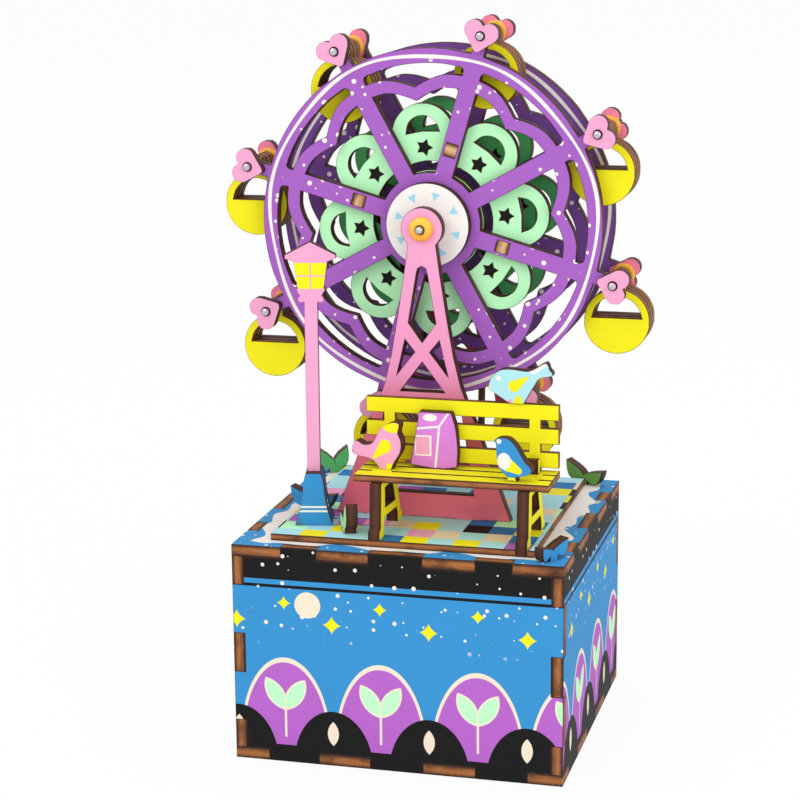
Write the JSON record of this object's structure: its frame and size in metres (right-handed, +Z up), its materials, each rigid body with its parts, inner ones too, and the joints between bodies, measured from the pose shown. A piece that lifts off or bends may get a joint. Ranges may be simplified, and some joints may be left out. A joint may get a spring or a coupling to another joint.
{
  "type": "hand-cranked ferris wheel music box",
  "caption": "Wooden toy ferris wheel with hanging round gondolas on a square box, turned by a hand crank through a belt; lamp, bench and birds stand in front of the wheel.",
  "frame": {"origin": "centre of the box's underside", "axes": "+Z up, -Y towards the box's front with the bench and the lamp, +X to the right seen from the front"},
  "size_m": [0.112, 0.0989, 0.1856],
  "materials": {
    "printed_night_ply": "printed laser-cut plywood, blue, black and lilac",
    "printed_top_ply": "printed laser-cut plywood, blue border with a cream field",
    "bare_ply": "bare plywood",
    "tiled_ply": "printed plywood, small coloured tiles",
    "pink_ply": "matt paint on plywood",
    "rear_frame_ply": "matt paint on plywood",
    "purple_ply": "matt paint on plywood with a cream line",
    "mint_ply": "matt paint on plywood",
    "white_ply": "matt paint on plywood",
    "yellow_ply": "matt paint on plywood",
    "blue_ply": "matt paint on plywood",
    "lilac_ply": "matt paint on plywood",
    "sky_ply": "matt paint on plywood",
    "green_ply": "matt paint on plywood",
    "pale_green_ply": "matt paint on plywood",
    "orange_bush": "satin",
    "steel": "bright drawn steel",
    "brass": "polished",
    "belt_rubber": "matt"
  },
  "bodies": {
    "box_and_stand": {"front_panel": "printed_night_ply", "rear_panel": "printed_night_ply", "left_panel": "printed_night_ply", "right_panel": "printed_night_ply", "bottom_panel": "bare_ply", "top_panel": "printed_top_ply", "paving": "tiled_ply", "front_frame": "pink_ply", "rear_frame": "rear_frame_ply", "front_bush": "orange_bush", "drive_belt": "belt_rubber", "movement_bracket": "steel", "music_comb": "steel", "lamp_post": "pink_ply", "lamp_foot_front": "blue_ply", "lamp_foot_rear": "blue_ply", "bench_seat": "yellow_ply", "bench_back": "yellow_ply", "bench_leg_left": "yellow_ply", "bench_leg_right": "yellow_ply", "paper_bag": "lilac_ply", "pink_bird": "pink_ply", "blue_bird": "blue_ply", "sky_bird": "sky_ply", "sprout_back_right": "green_ply", "sprout_back_left": "green_ply", "sprout_front_left": "blue_ply", "sprout_front_right": "blue_ply", "sprout_middle": "pale_green_ply"},
    "wheel": {"front_wheel_disc": "purple_ply", "rear_wheel_disc": "purple_ply", "front_petals": "mint_ply", "rear_petals": "mint_ply", "hub_plate": "white_ply", "axle": "steel", "wheel_pulley": "bare_ply", "wheel_spacer_1": "bare_ply", "wheel_spacer_2": "bare_ply", "wheel_spacer_3": "bare_ply", "wheel_spacer_4": "bare_ply", "heart_pin_1": "pink_ply", "heart_pin_2": "pink_ply", "heart_pin_3": "pink_ply", "heart_pin_4": "pink_ply", "heart_pin_5": "pink_ply", "heart_pin_6": "pink_ply", "heart_pin_7": "pink_ply", "heart_pin_8": "pink_ply"},
    "gondola_body_1": {"gondola_1": "yellow_ply"},
    "gondola_body_2": {"gondola_2": "yellow_ply"},
    "gondola_body_3": {"gondola_3": "yellow_ply"},
    "gondola_body_4": {"gondola_4": "yellow_ply"},
    "gondola_body_5": {"gondola_5": "yellow_ply"},
    "gondola_body_6": {"gondola_6": "yellow_ply"},
    "gondola_body_7": {"gondola_7": "yellow_ply"},
    "gondola_body_8": {"gondola_8": "yellow_ply"},
    "crank": {"crank_shaft": "steel", "crank_arm": "bare_ply"},
    "knob": {"crank_knob": "bare_ply"},
    "cylinder": {"music_cylinder": "brass"}
  },
  "joints": [
    {"name": "wheel_spin", "type": "hinge", "parent": "box_and_stand", "child": "wheel", "pos_m": [0, 0, 0.1338], "axis": [0, 1, 0], "continuous": true},
    {"name": "gondola_1_swing", "type": "hinge", "parent": "wheel", "child": "gondola_body_1", "pos_m": [0.0138, 0.0055, 0.18144], "axis": [0, 1, 0], "continuous": true},
    {"name": "gondola_2_swing", "type": "hinge", "parent": "wheel", "child": "gondola_body_2", "pos_m": [-0.02393, 0.0055, 0.17724], "axis": [0, 1, 0], "continuous": true},
    {"name": "gondola_3_swing", "type": "hinge", "parent": "wheel", "child": "gondola_body_3", "pos_m": [-0.04764, 0.0055, 0.1476], "axis": [0, 1, 0], "continuous": true},
    {"name": "gondola_4_swing", "type": "hinge", "parent": "wheel", "child": "gondola_body_4", "pos_m": [-0.04344, 0.0055, 0.10987], "axis": [0, 1, 0], "continuous": true},
    {"name": "gondola_5_swing", "type": "hinge", "parent": "wheel", "child": "gondola_body_5", "pos_m": [-0.0138, 0.0055, 0.08616], "axis": [0, 1, 0], "continuous": true},
    {"name": "gondola_6_swing", "type": "hinge", "parent": "wheel", "child": "gondola_body_6", "pos_m": [0.02393, 0.0055, 0.09036], "axis": [0, 1, 0], "continuous": true},
    {"name": "gondola_7_swing", "type": "hinge", "parent": "wheel", "child": "gondola_body_7", "pos_m": [0.04764, 0.0055, 0.12], "axis": [0, 1, 0], "continuous": true},
    {"name": "gondola_8_swing", "type": "hinge", "parent": "wheel", "child": "gondola_body_8", "pos_m": [0.04344, 0.0055, 0.15773], "axis": [0, 1, 0], "continuous": true},
    {"name": "crank_spin", "type": "hinge", "parent": "box_and_stand", "child": "crank", "pos_m": [0, 0.04, 0.033], "axis": [0, 1, 0], "continuous": true},
    {"name": "cylinder_spin", "type": "hinge", "parent": "box_and_stand", "child": "cylinder", "pos_m": [-0.021, 0, 0.033], "axis": [0, 1, 0], "continuous": true},
    {"name": "knob_spin", "type": "hinge", "parent": "crank", "child": "knob", "pos_m": [0, 0.052, 0.014], "axis": [0, 1, 0], "continuous": true}
  ],
  "couplings": [
    {"joint": "gondola_1_swing", "follows": "wheel_spin", "ratio": -1},
    {"joint": "gondola_2_swing", "follows": "wheel_spin", "ratio": -1},
    {"joint": "gondola_3_swing", "follows": "wheel_spin", "ratio": -1},
    {"joint": "gondola_4_swing", "follows": "wheel_spin", "ratio": -1},
    {"joint": "gondola_5_swing", "follows": "wheel_spin", "ratio": -1},
    {"joint": "gondola_6_swing", "follows": "wheel_spin", "ratio": -1},
    {"joint": "gondola_7_swing", "follows": "wheel_spin", "ratio": -1},
    {"joint": "gondola_8_swing", "follows": "wheel_spin", "ratio": -1},
    {"joint": "crank_spin", "follows": "wheel_spin", "ratio": 1.2},
    {"joint": "cylinder_spin", "follows": "wheel_spin", "ratio": -0.6}
  ]
}
